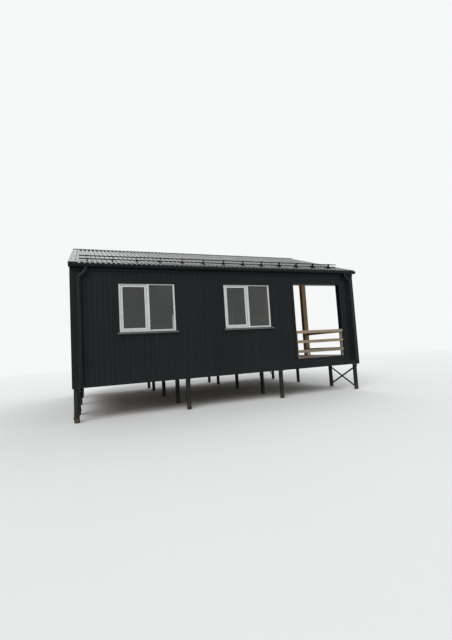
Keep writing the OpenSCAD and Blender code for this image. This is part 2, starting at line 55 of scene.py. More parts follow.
class Wire:
    # A socket of a graph. Adding, scaling or comparing it adds the Math nodes.
    def __init__(self, graph, socket):
        self.graph = graph
        self.socket = socket

    __add__ = mathNode("ADD")
    __radd__ = mathNode("ADD", turned=True)
    __sub__ = mathNode("SUBTRACT")
    __rsub__ = mathNode("SUBTRACT", turned=True)
    __mul__ = mathNode("MULTIPLY")
    __rmul__ = mathNode("MULTIPLY", turned=True)
    __truediv__ = mathNode("DIVIDE")
    __pow__ = mathNode("POWER")
    __lt__ = mathNode("LESS_THAN")
    floor = mathNode("FLOOR")
    fraction = mathNode("FRACT")
    size = mathNode("ABSOLUTE")
    larger = mathNode("MAXIMUM")

    def ramp(self, low, high):
        # 0 at low, 1 at high, smooth between; low above high turns it round
        return self.graph.add("ShaderNodeMapRange", {"interpolation_type": "SMOOTHSTEP"},
                              {"Value": self, "From Min": low, "From Max": high})


class Graph:
    # A node tree that one method fills.
    def __init__(self, tree):
        self.nodes = tree.nodes
        self.links = tree.links

    def add(self, kind, settings=None, sockets=None, output=0):
        node = self.nodes.new(kind)
        for key, value in (settings or {}).items():
            setattr(node, key, value)
        for key, value in (sockets or {}).items():
            if isinstance(value, Wire):
                self.links.new(value.socket, node.inputs[key])
            else:
                node.inputs[key].default_value = value
        return Wire(self, node.outputs[output]) if node.outputs else None


farSide = 20.0  # metres beyond every wall, so that sheets and boards count up from nought


def paint(red, green, blue):
    # a colour as a paint card gives it, 0 to 255, made linear for the shader
    return tuple((c / 255 / 12.92) if c <= 10 else ((c / 255 + 0.055) / 1.055) ** 2.4
                 for c in (red, green, blue)) + (1.0,)


class Finish(Graph):
    # A material on the cabin's own coordinates, in metres.
    def __init__(self, name, gloss=0.5, metal=0.0):
        self.material = bpy.data.materials.new(name)
        self.material.use_nodes = True
        super().__init__(self.material.node_tree)
        self.shader = self.nodes["Principled BSDF"]
        self.shader.inputs["Specular IOR Level"].default_value = gloss
        self.shader.inputs["Metallic"].default_value = metal
        self.place = self.add("ShaderNodeTexCoord", output="Object")
        self.axes = self.add("ShaderNodeSeparateXYZ", {}, {0: self.place}).socket.node

    def axis(self, letter):
        return Wire(self, self.axes.outputs[letter])

    def vector(self, operation, first, second):
        return self.add("ShaderNodeVectorMath", {"operation": operation}, {0: first, 1: second})

    def noise(self, scale, detail=3.0, stretch=None, rough=0.5, bend=0.0, at=None):
        at = at or self.place
        at = self.vector("MULTIPLY", at, tuple(stretch)) if stretch else at
        return self.add("ShaderNodeTexNoise", {}, {"Vector": at, "Scale": scale, "Detail": detail,
                                                   "Roughness": rough, "Distortion": bend})

    def chance(self, number):
        # one random value for each whole number
        return self.add("ShaderNodeTexWhiteNoise", {"noise_dimensions": "1D"}, {"W": number})

    def mix(self, mask, first, second):
        first, second = (c if isinstance(c, Wire) else paint(*c) for c in (first, second))
        return self.add("ShaderNodeMix", {"data_type": "RGBA"}, {0: mask, 6: first, 7: second}, 2)

    def scale(self, vector, gain):
        return self.add("ShaderNodeVectorMath", {"operation": "SCALE"}, {0: vector, "Scale": gain})

    def shade(self, colour, gain):
        # a colour made lighter or darker by a value round 1
        return self.scale(colour if isinstance(colour, Wire) else paint(*colour)[:3], gain)

    def coat(self, colour, rough):
        self.links.new(colour.socket, self.shader.inputs["Base Color"])
        self.links.new(rough.socket, self.shader.inputs["Roughness"])

    def relief(self, *layers):
        # layers of (height, distance in metres), from the coarse one to the fine one
        normal = None
        for height, distance in layers:
            sockets = {"Height": height, "Distance": distance, "Strength": 1.0}
            if normal is not None:
                sockets["Normal"] = normal
            normal = self.add("ShaderNodeBump", {}, sockets)
        self.links.new(normal.socket, self.shader.inputs["Normal"])
        return self.material


def coatedSheet(name, look, sheetAxis="X", fallAxes="Z"):
    # Coated sheet: a tone for each sheet, rain streaks down the fall, dust.
    f = Finish(name, look["gloss"])
    stretch = [look["downFall"] if axis in fallAxes else look["acrossFall"] for axis in "XYZ"]
    tone = f.chance(((f.axis(sheetAxis) + farSide) / look["cover"]).floor())
    cloud = f.noise(look["cloudScale"], 4.0)
    streak = f.noise(1.0, 4.0, stretch).ramp(0.5, 0.78)
    speck = f.noise(look["speckScale"], 2.0).ramp(0.55, 0.75)
    gain = 1.0 + (tone - 0.5) * look["sheetSpread"] + (cloud - 0.5) * look["cloud"]
    dust = streak * look["streak"] + speck * look["speck"]
    if look["splash"]:
        low = f.axis("Z").ramp(look["splash"], look["splash"] - look["splashFade"])
        dust = dust + low * (0.25 + 0.75 * f.noise(5.0, 4.0)) * look["splashWeight"]
    colour = f.mix(dust, f.shade(look["colour"], gain), look["dust"])
    if look["backing"]:
        # the underside has a plain grey backing coat
        face = f.add("ShaderNodeNewGeometry", output="Normal")
        down = f.add("ShaderNodeSeparateXYZ", {}, {0: face}, "Z") < look["facesDown"]
        colour = f.mix(down, colour, look["backing"])
    f.coat(colour, look["rough"] + dust * 0.45 + (cloud - 0.5) * 0.12)
    return f.relief((f.noise(look["waveScale"], 2.0), look["wave"]),
                    (f.noise(look["peelScale"], 2.0), look["peel"]))


def sawnGrain(f, along, look):
    # Grain along one axis with a tone for each board: colour, rings and fibres.
    def onAxis(here, across):
        return tuple(here if axis == along else across for axis in "XYZ")

    tone = f.chance(((f.axis(look["boardAxis"]) - look["start"]) / look["board"]).floor())
    at = f.vector("ADD", f.place, f.scale(onAxis(look["slip"], 0.0), tone))
    stretch = onAxis(look["stretch"], 1.0)
    ring = ((f.noise(look["ringScale"], 2.0, stretch, bend=0.6, at=at) * look["rings"]).fraction()
            - 0.5).size() * 2.0
    fibre = f.noise(look["fibreScale"], 3.0, stretch, at=at)
    knotAt = f.vector("MULTIPLY", at, onAxis(*look["knotScale"]))
    knot = f.add("ShaderNodeTexVoronoi", {}, {"Vector": knotAt, "Scale": 1.0})
    wood = f.mix(ring * 0.55 + fibre * 0.35, look["pale"], look["dark"])
    wood = f.mix(knot.ramp(*look["knotEdge"]) * 0.75, wood, look["knot"])
    grey = f.noise(look["greyScale"], 5.0).ramp(0.42, 0.75) * look["grey"]
    wood = f.mix(grey, wood, look["greyed"])
    return f.shade(wood, 0.86 + tone * 0.28), ring, fibre


def sawnWood(name, along, look, uprightsWithin=None):
    f = Finish(name, 0.3)
    colour, ring, fibre = sawnGrain(f, along, look)
    if uprightsWithin:
        # nearer the cabin's middle than this stand the uprights, with their grain up
        stand = f.axis("Y").size() < uprightsWithin
        upright = dict(look, boardAxis="X", board=look["uprightBoard"])
        other, otherRing, otherFibre = sawnGrain(f, "Z", upright)
        colour = f.mix(stand, colour, other)
        ring = ring * (1.0 - stand) + otherRing * stand
        fibre = fibre * (1.0 - stand) + otherFibre * stand
    layers = [(ring, look["ringDepth"]), (fibre, look["fibreDepth"])]
    if look.get("joint"):
        spot = ((f.axis(look["boardAxis"]) - look["start"]) / look["board"]).fraction()
        joint = (spot - 0.5).size().ramp(0.5 - look["joint"] / look["board"], 0.5)
        colour = f.mix(joint * 0.8, colour, look["jointColour"])
        layers.insert(0, (1.0 - joint, look["jointDepth"]))
    f.coat(colour, 0.72 + fibre * 0.18)
    return f.relief(*layers)


def mouldedPlastic(name, look):
    f = Finish(name)
    grime = f.noise(9.0, 4.0).ramp(0.5, 0.8) * look["grime"]
    f.coat(f.mix(grime, look["colour"], look["grimeColour"]),
           look["rough"] + grime * 0.4 + f.noise(40.0) * 0.05)
    return f.relief((f.noise(300.0, 2.0), 0.00008))


def primedSteel(name, look):
    # Primed or galvanised steel with rust blooms, and soil low down.
    f = Finish(name, look["gloss"], look["metal"])
    rustTo = look["rustFrom"] + look["rustEdge"]
    bloom = f.noise(look["rustScale"], 6.0, rough=0.65).ramp(look["rustFrom"], rustTo)
    mottle = f.noise(look["mottleScale"], 3.0)
    gain = 1.0 + (mottle - 0.5) * look["mottle"]
    colour = f.mix(bloom * look["rust"], f.shade(look["colour"], gain), look["rustColour"])
    if look["soil"]:
        low = f.axis("Z").ramp(look["soil"], 0.0) * f.noise(18.0, 4.0).ramp(0.3, 0.7)
        colour = f.mix(low * 0.7, colour, look["soilColour"])
    f.coat(colour, look["rough"] + bloom * 0.3 + (mottle - 0.5) * 0.1)
    return f.relief((f.noise(look["waveScale"], 4.0), look["wave"]),
                    (f.noise(look["grainScale"], 2.0), look["wave"] / 3))


def liningBoards(name, axis, look):
    # Tongued boards: a dark line at each joint, a faint tone for each board.
    f = Finish(name, 0.4)
    spot = (f.axis(axis) + farSide) / look["board"]
    tone = f.chance(spot.floor())
    joint = (spot.fraction() - 0.5).size().ramp(0.5 - look["joint"] / look["board"], 0.5)
    soft = f.noise(2.0, 3.0)
    body = f.shade(look["colour"], 0.92 + tone * 0.08 + soft * 0.06)
    f.coat(f.mix(joint * 0.6, body, look["jointColour"]), 0.5 + soft * 0.1)
    return f.relief((1.0 - joint, look["jointDepth"]), (f.noise(120.0, 2.0), look["grainDepth"]))


def paneGlass(name, look):
    f = Finish(name)
    film = f.noise(3.0, 5.0).ramp(0.45, 0.8) * look["film"]
    f.coat(f.mix(film, look["tint"], look["filmColour"]), 0.01 + film * 0.25)
    f.shader.inputs["Transmission Weight"].default_value = 1.0
    f.shader.inputs["IOR"].default_value = look["ior"]
    return f.relief((f.noise(1.3, 1.0), 0.0012))


# cover is a sheet's width, splash the height up to which rain throws dirt on it
wallLook = dict(
    colour=(20, 25, 27), gloss=0.14, rough=0.42, cover=1.061, sheetSpread=0.14, cloud=0.3,
    cloudScale=0.9, streak=0.035, downFall=0.5, acrossFall=14.0, speck=0.02, speckScale=55.0,
    dust=(88, 88, 80), splash=1.3, splashFade=0.75, splashWeight=0.05, wave=0.002, waveScale=2.2,
    peel=0.00012, peelScale=420.0, backing=None, facesDown=-0.3,
)
trimLook = dict(
    wallLook, colour=(18, 22, 24), cover=2.0, sheetSpread=0.08, cloud=0.2, rough=0.36, wave=0.001,
    splashWeight=0.03,
)
rainwaterLook = dict(trimLook, colour=(17, 21, 23), cover=3.0)
sillLook = dict(trimLook, colour=(88, 92, 89), gloss=0.3, streak=0.15, splash=None)
roofLook = dict(
    wallLook, colour=(50, 53, 55), gloss=0.4, cover=1.0667, streak=0.10, speck=0.05, rough=0.34,
    wave=0.003, dust=(118, 116, 108), splash=None, backing=(96, 98, 97),
)
# the ridge cap is made darker than the roof sheet: painted shade for the dark line along the ridge
capLook = dict(roofLook, colour=(30, 33, 34), cover=2.0, gloss=0.14, rough=0.58)
vergeLook = dict(roofLook, colour=(56, 59, 61), cover=2.0, backing=None)

# board is a board's width with its gap, start where the first one lies
woodLook = dict(
    pale=(152, 136, 116), dark=(114, 96, 78), knot=(76, 56, 40), grey=0.45, greyed=(122, 114, 104),
    greyScale=3.5, boardAxis="Z", start=0.0, board=0.252, uprightBoard=0.8, slip=31.0,
    stretch=0.045, ringScale=9.0, rings=11.0, ringDepth=0.0005, fibreScale=170.0, fibreDepth=0.0007,
    knotScale=(2.3, 5.5), knotEdge=(0.13, 0.06), jointColour=(30, 22, 14), jointDepth=0.003,
)
floorLook = dict(
    woodLook, boardAxis="X", board=0.11, joint=0.003, grey=0.0, pale=(150, 112, 72),
    dark=(104, 72, 44),
)
deckLook = dict(
    woodLook, boardAxis="X", start=1.2175, board=0.15219, pale=(136, 112, 92), dark=(100, 76, 60),
    greyed=(118, 108, 98),
)
postLook = dict(
    woodLook, boardAxis="Y", start=-3.0, board=1.0, pale=(150, 130, 98), dark=(106, 84, 58),
)
trussLook = dict(
    woodLook, boardAxis="X", board=0.79, grey=0.1, pale=(196, 166, 120), dark=(156, 122, 80),
)
battenLook = dict(
    woodLook, boardAxis="Y", board=0.35, grey=0.1, pale=(188, 158, 114), dark=(148, 116, 76),
)
liningLook = dict(
    colour=(150, 126, 92), board=0.1, joint=0.004, jointDepth=0.003, jointColour=(74, 56, 36),
    grainDepth=0.0003,
)
ceilingLook = dict(liningLook, colour=(166, 142, 106))

# rust blooms above rustFrom; soil is how high the earth marks the steel
steelLook = dict(
    colour=(38, 40, 38), gloss=0.4, metal=0.0, rough=0.6, rust=0.5, rustFrom=0.6, rustEdge=0.12,
    rustScale=7.0, rustColour=(84, 50, 32), soil=None, soilColour=(96, 80, 60), mottle=0.3,
    mottleScale=26.0, wave=0.0006, waveScale=9.0, grainScale=260.0,
)
guardLook = dict(steelLook, colour=(18, 20, 21), gloss=0.2, rough=0.6, rust=0.25, rustFrom=0.66)
# piles and base frame are near-black, partly their own dark paint, partly painted shade for the
# shade under the cabin
pileLook = dict(steelLook, colour=(25, 28, 25), gloss=0.25, soil=0.22)
frameLook = dict(steelLook, colour=(26, 28, 27), rough=0.65)
zincLook = dict(
    steelLook, colour=(176, 178, 176), rough=0.38, metal=0.8, rust=0.15, rustFrom=0.7, wave=0.0003,
)
screwLook = dict(steelLook, colour=(34, 37, 39), rough=0.4, rust=0.1, rustFrom=0.7)
handleLook = dict(
    steelLook, colour=(190, 190, 186), rough=0.28, metal=0.9, rust=0.0, mottle=0.06, wave=0.00004,
)

plasticLook = dict(colour=(192, 197, 194), rough=0.28, grime=0.35, grimeColour=(150, 146, 132))
sealLook = dict(colour=(16, 17, 17), rough=0.62, grime=0.2, grimeColour=(60, 58, 54))
doorLook = dict(colour=(126, 130, 133), rough=0.36, grime=0.2, grimeColour=(100, 96, 88))
glassLook = dict(tint=(206, 216, 213), film=0.1, filmColour=(170, 172, 165), ior=1.5)

finishes = dict(
    wallX=coatedSheet("graphite_long_sheet", wallLook),
    wallY=coatedSheet("graphite_end_sheet", wallLook, "Y"),
    trim=coatedSheet("graphite_trim", trimLook),
    roof=coatedSheet("roof_sheet", roofLook, "X", "YZ"),
    cap=coatedSheet("ridge_sheet", capLook, "X", "YZ"),
    verge=coatedSheet("verge_sheet", vergeLook, "Y", "YZ"),
    rainwater=coatedSheet("rainwater_sheet", rainwaterLook),
    sill=coatedSheet("sill_sheet", sillLook),
    guard=primedSteel("guard_steel", guardLook),
    pile=primedSteel("pile_steel", pileLook),
    frame=primedSteel("frame_steel", frameLook),
    zinc=primedSteel("zinc_fittings", zincLook),
    screw=primedSteel("painted_screws", screwLook),
    handle=primedSteel("handle_steel", handleLook),
    windowPlastic=mouldedPlastic("window_plastic", plasticLook),
    seal=mouldedPlastic("black_seal", sealLook),
    doorSheet=mouldedPlastic("door_sheet", doorLook),
    glass=paneGlass("window_glass", glassLook),
    wall=liningBoards("wall_lining", "Z", liningLook),
    ceiling=liningBoards("ceiling_lining", "Y", ceilingLook),
    floor=sawnWood("floor_boards", "Y", floorLook),
    deck=sawnWood("deck_boards", "Y", deckLook),
    post=sawnWood("post_wood", "Z", postLook),
    railX=sawnWood("railing_wood_long", "X", woodLook, uprightsWithin=3.0147),
    railY=sawnWood("railing_wood_cross", "Y", woodLook),
    timberY=sawnWood("roof_timber", "Y", trussLook),
    timberX=sawnWood("batten_timber", "X", battenLook),
)
print("finishes made:", len(finishes))

nodeFinish = dict(
    pile=("piles", "pile_bracing"),
    frame=("base_frame", "floor_joists"),
    floor=("room_floor",),
    deck=("terrace_deck",),
    wall=("front_wall", "back_wall", "left_wall", "terrace_wall", "gables"),
    wallX=("front_cladding", "back_cladding"),
    wallY=("left_cladding", "right_cladding", "terrace_cladding"),
    trim=("terrace_front_wall", "terrace_back_wall", "corner_trims", "eave_boards",
          "window_trims", "opening_trims"),
    ceiling=("ceiling",),
    timberY=("roof_trusses", "terrace_rafters"),
    timberX=("roof_battens",),
    roof=("front_roof", "back_roof"),
    cap=("ridge_cap",),
    verge=("verge_trims",),
    rainwater=("gutters", "downpipes"),
    guard=("guard_tubes", "guard_brackets"),
    windowPlastic=("window_frames", "window_sashes"),
    glass=("window_glass",),
    sill=("window_sills",),
    doorSheet=("door_frame", "door_leaf"),
    handle=("door_handle",),
    post=("terrace_posts",),
    railX=("front_railing", "back_railing"),
    railY=("right_railing",),
)
for finish, nodes in nodeFinish.items():
    for node in nodes:
        cadNodes[node].data.materials.clear()
        cadNodes[node].data.materials.append(finishes[finish])
print("CAD pieces dressed")

# the cabin's main lengths, as in the source
plan = dict(
    length=7320, depth=6100, room=4880, ground=700, opening=(5365, 6835), roofAngle=20.5,
    roofLow=2613.69, ridgeRun=3256.2, ribs=69, crest=22.2, verge=20,
)
plan["rib"] = (plan["length"] + 2 * plan["verge"]) / plan["ribs"]
cabin = Matrix.Translation([v / 1000 for v in (-plan["length"] / 2, -plan["depth"] / 2,
                                               plan["ground"])])
toBack = Matrix.Scale(-1, 4, (0, 1, 0))


def at(x, y, z):
    # a point of the cabin, in the scene's metres
    return cabin @ (Vector((x, y, z)) / 1000)


def level(x, y, z):
    # an upright place at that point
    return Matrix.Translation(at(x, y, z))


def facing(point, outward, along=(0, 0, 1)):
    # a place whose Z axis points outwards and whose X axis lies along the second vector
    z = Vector(outward)
    y = z.cross(Vector(along)).normalized()
    return Matrix.Translation(point) @ Matrix((y.cross(z), y, z)).transposed().to_4x4()


def spun(angle, axis):
    return Matrix.Rotation(radians(angle), 4, axis)


def onRoof(x, s, n):
    # a place on the front slope: s up the slope, n out of the sheet's pan
    lift = Matrix.Translation((0, s / 1000, n / 1000))
    return level(x, 0, plan["roofLow"]) @ spun(plan["roofAngle"], "X") @ lift


def inFront(spots, y, back=False):
    # places at (x, z) on the front, or mirrored to the back
    side = toBack if back else Matrix()
    return [side @ facing(at(x, y, z), (0, -1, 0)) for x, z in spots]


def bothSides(places):
    return places + [toBack @ place for place in places]


def ease(bm, verts, edges, width, steps):
    # bevels a fresh shape's edges and gives back all its corners
    made = bmesh.ops.bevel(bm, geom=list(edges), offset=width / 1000, offset_type="OFFSET",
                           affect="EDGES", segments=steps, profile=0.5, material=-1)
    return list({v for face in made["faces"] for v in face.verts}
                | {v for v in verts if v.is_valid})


def slab(bm, low, high, edge=0.0, steps=1, place=None):
    # a board or plate between two corners, with eased edges
    verts = bmesh.ops.create_cube(bm, size=1.0)["verts"]
    bmesh.ops.scale(bm, vec=[(h - l) / 1000 for l, h in zip(low, high)], verts=verts)
    bmesh.ops.translate(bm, vec=[(l + h) / 2000 for l, h in zip(low, high)], verts=verts)
    if edge:
        verts = ease(bm, verts, {e for v in verts for e in v.link_edges}, edge, steps)
    if place is not None:
        bmesh.ops.transform(bm, matrix=place, verts=verts)
    return verts


def drum(bm, radius, low, high, sides, edge=0.0, place=None):
    # a round or many-sided bar along Z, its rims eased
    verts = bmesh.ops.create_cone(bm, cap_ends=True, segments=sides, radius1=radius / 1000,
                                  radius2=radius / 1000, depth=(high - low) / 1000)["verts"]
    bmesh.ops.translate(bm, vec=(0, 0, (low + high) / 2000), verts=verts)
    if edge:
        rims = {e for v in verts for e in v.link_edges
                if abs(e.verts[0].co.z - e.verts[1].co.z) < 1e-7}
        verts = ease(bm, verts, rims, edge, 1)
    if place is not None:
        bmesh.ops.transform(bm, matrix=place, verts=verts)


def lathe(bm, parts, place=None):
    # bars on one line, each by its radius, low and high end, sides and eased rim
    for part in parts:
        drum(bm, *part, place)


def strip(bm, left, right, corners, edge, steps=1, place=None):
    # a slab along X between two corners (y, z)
    low, high = corners
    slab(bm, (left, *low), (right, *high), edge, steps, place)


def thicken(bm, faces, vec):
    # extrudes faces along a vector and gives back the new corners
    made = bmesh.ops.extrude_face_region(bm, geom=faces)["geom"]
    moved = [g for g in made if isinstance(g, bmesh.types.BMVert)]
    bmesh.ops.translate(bm, vec=Vector(vec) / 1000, verts=moved)
    return moved


def prism(bm, corners, vec):
    # a plate with these corners, made thick along the vector
    verts = [bm.verts.new(Vector(c) / 1000) for c in corners]
    thicken(bm, [bm.faces.new(verts)], vec)


def band(bm, low, high, width, depth, place=None):
    # a flat rectangular ring between two corners (x, z), from y nought backwards
    corners = ((low[0], low[1]), (high[0], low[1]), (high[0], high[1]), (low[0], high[1]))
    face = bm.faces.new([bm.verts.new((x / 1000, 0, z / 1000)) for x, z in corners])
    face.normal_update()  # the inset has no width without it
    ring = bmesh.ops.inset_individual(bm, faces=[face], thickness=width / 1000,
                                      use_even_offset=True)["faces"]
    verts = {v for part in ring for v in part.verts}
    bmesh.ops.delete(bm, geom=[face], context="FACES_ONLY")
    moved = thicken(bm, ring, (0, depth, 0))
    if place is not None:
        bmesh.ops.transform(bm, matrix=place, verts=list(verts) + moved)


def repeated(pattern, places):
    # one mesh with the pattern at every place
    mesh = bpy.data.meshes.new("pattern")
    pattern.to_mesh(mesh)
    pattern.free()
    bm = bmesh.new()
    for place in places:
        copy = mesh.copy()
        copy.transform(place)
        bm.from_mesh(copy)
        bpy.data.meshes.remove(copy)
    bpy.data.meshes.remove(mesh)
    return bm


def addObject(name, data):
    added = bpy.data.objects.new(name, data)
    bpy.context.scene.collection.objects.link(added)
    return added


def keep(name, bm, finish, smooth=35, replaces=None):
    # a finished piece: outward faces, a finish, and its ride on the cabin
    bmesh.ops.recalc_face_normals(bm, faces=bm.faces)
    mesh = bpy.data.meshes.new(name)
    bm.to_mesh(mesh)
    bm.free()
    if smooth:
        mesh.polygons.foreach_set("use_smooth", [True] * len(mesh.polygons))
        mesh.set_sharp_from_angle(angle=radians(smooth))
    mesh.materials.append(finishes[finish])
    piece = addObject(name, mesh)
    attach(piece, "root")
    if replaces:
        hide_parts(replaces)


def keepScrews(name, places, slot, washer, thick, head, height):
    # hexagon heads on washers; washer and head are their radii
    bm = bmesh.new()
    drum(bm, washer, 0, thick, 8)
    drum(bm, head, thick, thick + height, 6, 0.6)
    keep(name, repeated(bm, places), "screw")


# a screw or bolt in these dictionaries is a radius, low and high end, sides and eased rim
deck = dict(
    left=4880, right=7310, front=150, back=5950, low=200, high=250, boards=16, gap=5,
    joints=(3050, 2447), jointGap=3, edge=2.5, joists=9, joistStep=603, firstJoist=638,
    screwSpots=(0.18, 0.82), screw=(4.5, -1.0, 0.4, 8, 0.4),
)


def makeDeck():
    bm = bmesh.new()
    d = deck
    width = (d["right"] - d["left"] - (d["boards"] - 1) * d["gap"]) / d["boards"]
    half = d["jointGap"] / 2
    screws = []
    for i in range(d["boards"]):
        x = d["left"] + i * (width + d["gap"])
        joint = d["joints"][i % 2]
        for front, back in ((d["front"], joint - half), (joint + half, d["back"])):
            slab(bm, (x, front, d["low"]), (x + width, back, d["high"]), d["edge"], 2, cabin)
        for k in range(d["joists"]):
            for part in d["screwSpots"]:
                screws.append(facing(at(x + width * part, d["firstJoist"] + k * d["joistStep"],
                                        d["high"]), (0, 0, 1), (1, 0, 0)))
    keep("deck_boards", bm, "deck", replaces="terrace_deck")
    head = bmesh.new()
    drum(head, *d["screw"])
    keep("deck_screws", repeated(head, screws), "zinc")


makeDeck()
print("deck made")

# openings with their trims: left, right, low, high; the doorway: left, right, high
claddingScrews = dict(
    hexScrew=(6.5, 1.2, 4.2, 3.8), everyPan=3, rows=(60, 640, 1010, 1440, 1880, 2390), panIn=8,
    gableRow=2517,
    openings=((880, 2280, 1010, 2290), (3320, 4720, 1010, 2290), (5280, 6920, 170, 2290)),
    endPans=57, endMargin=10, endGable=2580, pier=140, innerRows=(330, 900, 1500, 2120),
    innerPans=54, innerPanOut=2, innerGable=2700, doorway=(2560, 3540, 2340),
)


def makeCladdingScrews():
    c, length, depth = claddingScrews, plan["length"], plan["depth"]
    slope = tan(radians(plan["roofAngle"]))

    def rowsAt(y, rows, gableFrom):
        # one more screw under the roof, where the gable rises above the rows
        under = c["gableRow"] + min(y, depth - y) * slope
        return rows + ((under,) if under > gableFrom else ())

    pan = length / plan["ribs"]
    places = []
    for back in (False, True):
        openings = c["openings"][1:] if back else c["openings"]
        spots = [(i * pan, z) for i in range(1, plan["ribs"], c["everyPan"]) for z in c["rows"]
                 if not any(l < i * pan < r and b < z < t for l, r, b, t in openings)]
        places += inFront(spots, c["panIn"], back)
    pan = (depth - 2 * c["endMargin"]) / c["endPans"]
    for i in range(1, c["endPans"], c["everyPan"]):
        y = c["endMargin"] + i * pan
        for z in rowsAt(y, c["rows"], c["endGable"]):
            places.append(facing(at(c["panIn"], y, z), (-1, 0, 0)))
            # the open right end has sheets only at its foot and on its corner piers
            if z == c["rows"][0] or not c["pier"] < y < depth - c["pier"]:
                places.append(facing(at(length - c["panIn"], y, z), (1, 0, 0)))
    pan = (deck["back"] - deck["front"]) / c["innerPans"]
    doorLeft, doorRight, doorHigh = c["doorway"]
    for i in range(2, c["innerPans"], c["everyPan"]):
        y = deck["back"] - i * pan
        for z in rowsAt(y, c["innerRows"], c["innerGable"]):
            if not (doorLeft < y < doorRight and z < doorHigh):
                places.append(facing(at(plan["room"] + c["innerPanOut"], y, z), (1, 0, 0)))
    keepScrews("cladding_screws", places, "graphite_sheet", *c["hexScrew"])


makeCladdingScrews()
print("cladding screws made")

roofScrews = dict(
    hexScrew=(7.5, 1.5, 4.6, 4.2), panOut=1.2, rows=8, firstRow=60, rowStep=392, everyPan=2,
    capDown=150, capOut=3.5, everyCapRib=3, vergeRows=7, vergeFirst=20, vergeStep=480,
    vergeOut=1.65,
)
capFillers = dict(low=176, high=140, foot=20.4, top=32.4, thin=1.3, thick=22.0)


def makeRoofFixings():
    r, p, left, ribs = roofScrews, plan["rib"], -plan["verge"], plan["ribs"]
    places = []
    for k in range(r["rows"]):
        for i in range(2 + k % 2, ribs - 1, r["everyPan"]):
            places.append(onRoof(left + i * p, r["firstRow"] + k * r["rowStep"], r["panOut"]))
    for i in range(1, ribs, r["everyCapRib"]):
        places.append(onRoof(left + (i + 0.5) * p, plan["ridgeRun"] - r["capDown"],
                             plan["crest"] + r["capOut"]))
    for k in range(r["vergeRows"]):
        for x in (left + 0.5 * p, plan["length"] + plan["verge"] - 0.5 * p):
            places.append(onRoof(x, r["vergeFirst"] + k * r["vergeStep"],
                                 plan["crest"] + r["vergeOut"]))
    keepScrews("roof_screws", bothSides(places), "roof_sheet", *r["hexScrew"])

    # foam strips that close the pans under the ridge cap, narrower at the sheet; they are black
    # as painted shade for the shaded troughs under the cap
    c, bm = capFillers, bmesh.new()
    low, high = plan["ridgeRun"] - c["low"], plan["ridgeRun"] - c["high"]
    verts = slab(bm, (-c["top"], low, c["thin"]), (c["top"], high, c["thick"]))
    middle = (c["thin"] + c["thick"]) / 2000
    bmesh.ops.scale(bm, vec=(c["foot"] / c["top"], 1, 1),
                    verts=[v for v in verts if v.co.z < middle])
    fillers = bothSides([onRoof(left + i * p, 0, 0) for i in range(1, ribs)])
    keep("ridge_fillers_and_shade", repeated(bm, fillers), "seal", 0)


makeRoofFixings()
print("roof fixings made")

# the gutter's centre line, then its bead and hooks; turns are in degrees, tab and stay
# are corners (y, z)
gutter = dict(
    y=-82.8, z=2559.7, radius=62.5, left=-19.5, right=7339.5, bead=7.0, beadThick=0.9, beadGap=0.2,
    beadTurn=300, beadSteps=12, hooks=13, hookFrom=260, hookStep=567, hookWidth=25, hookThick=1.8,
    hookGap=0.1, hookStart=-20, hookTurn=-142, hookSteps=14, edge=0.5,
    tab=((60.4, 1.3), (62.6, 34)), stay=((-58, 10.4), (60, 12.2)), stayTilt=3.5,
    screwAt=(0, 60.4, 26), screw=(4.5, 0, 3, 6, 0.6),
)
pipeClamps = dict(
    x=180, heights=(315, 1238, 2162), radius=47.5, ear=15, earHalf=11, earGap=2.0, earThick=3.6,
    earIn=1.5, edge=1.0, boltOut=7.5,
    bolt=((3, -12, 12, 8, 0.0), (5.5, -11, -5.6, 6, 0.6), (5.5, 5.6, 11, 6, 0.6)),
)


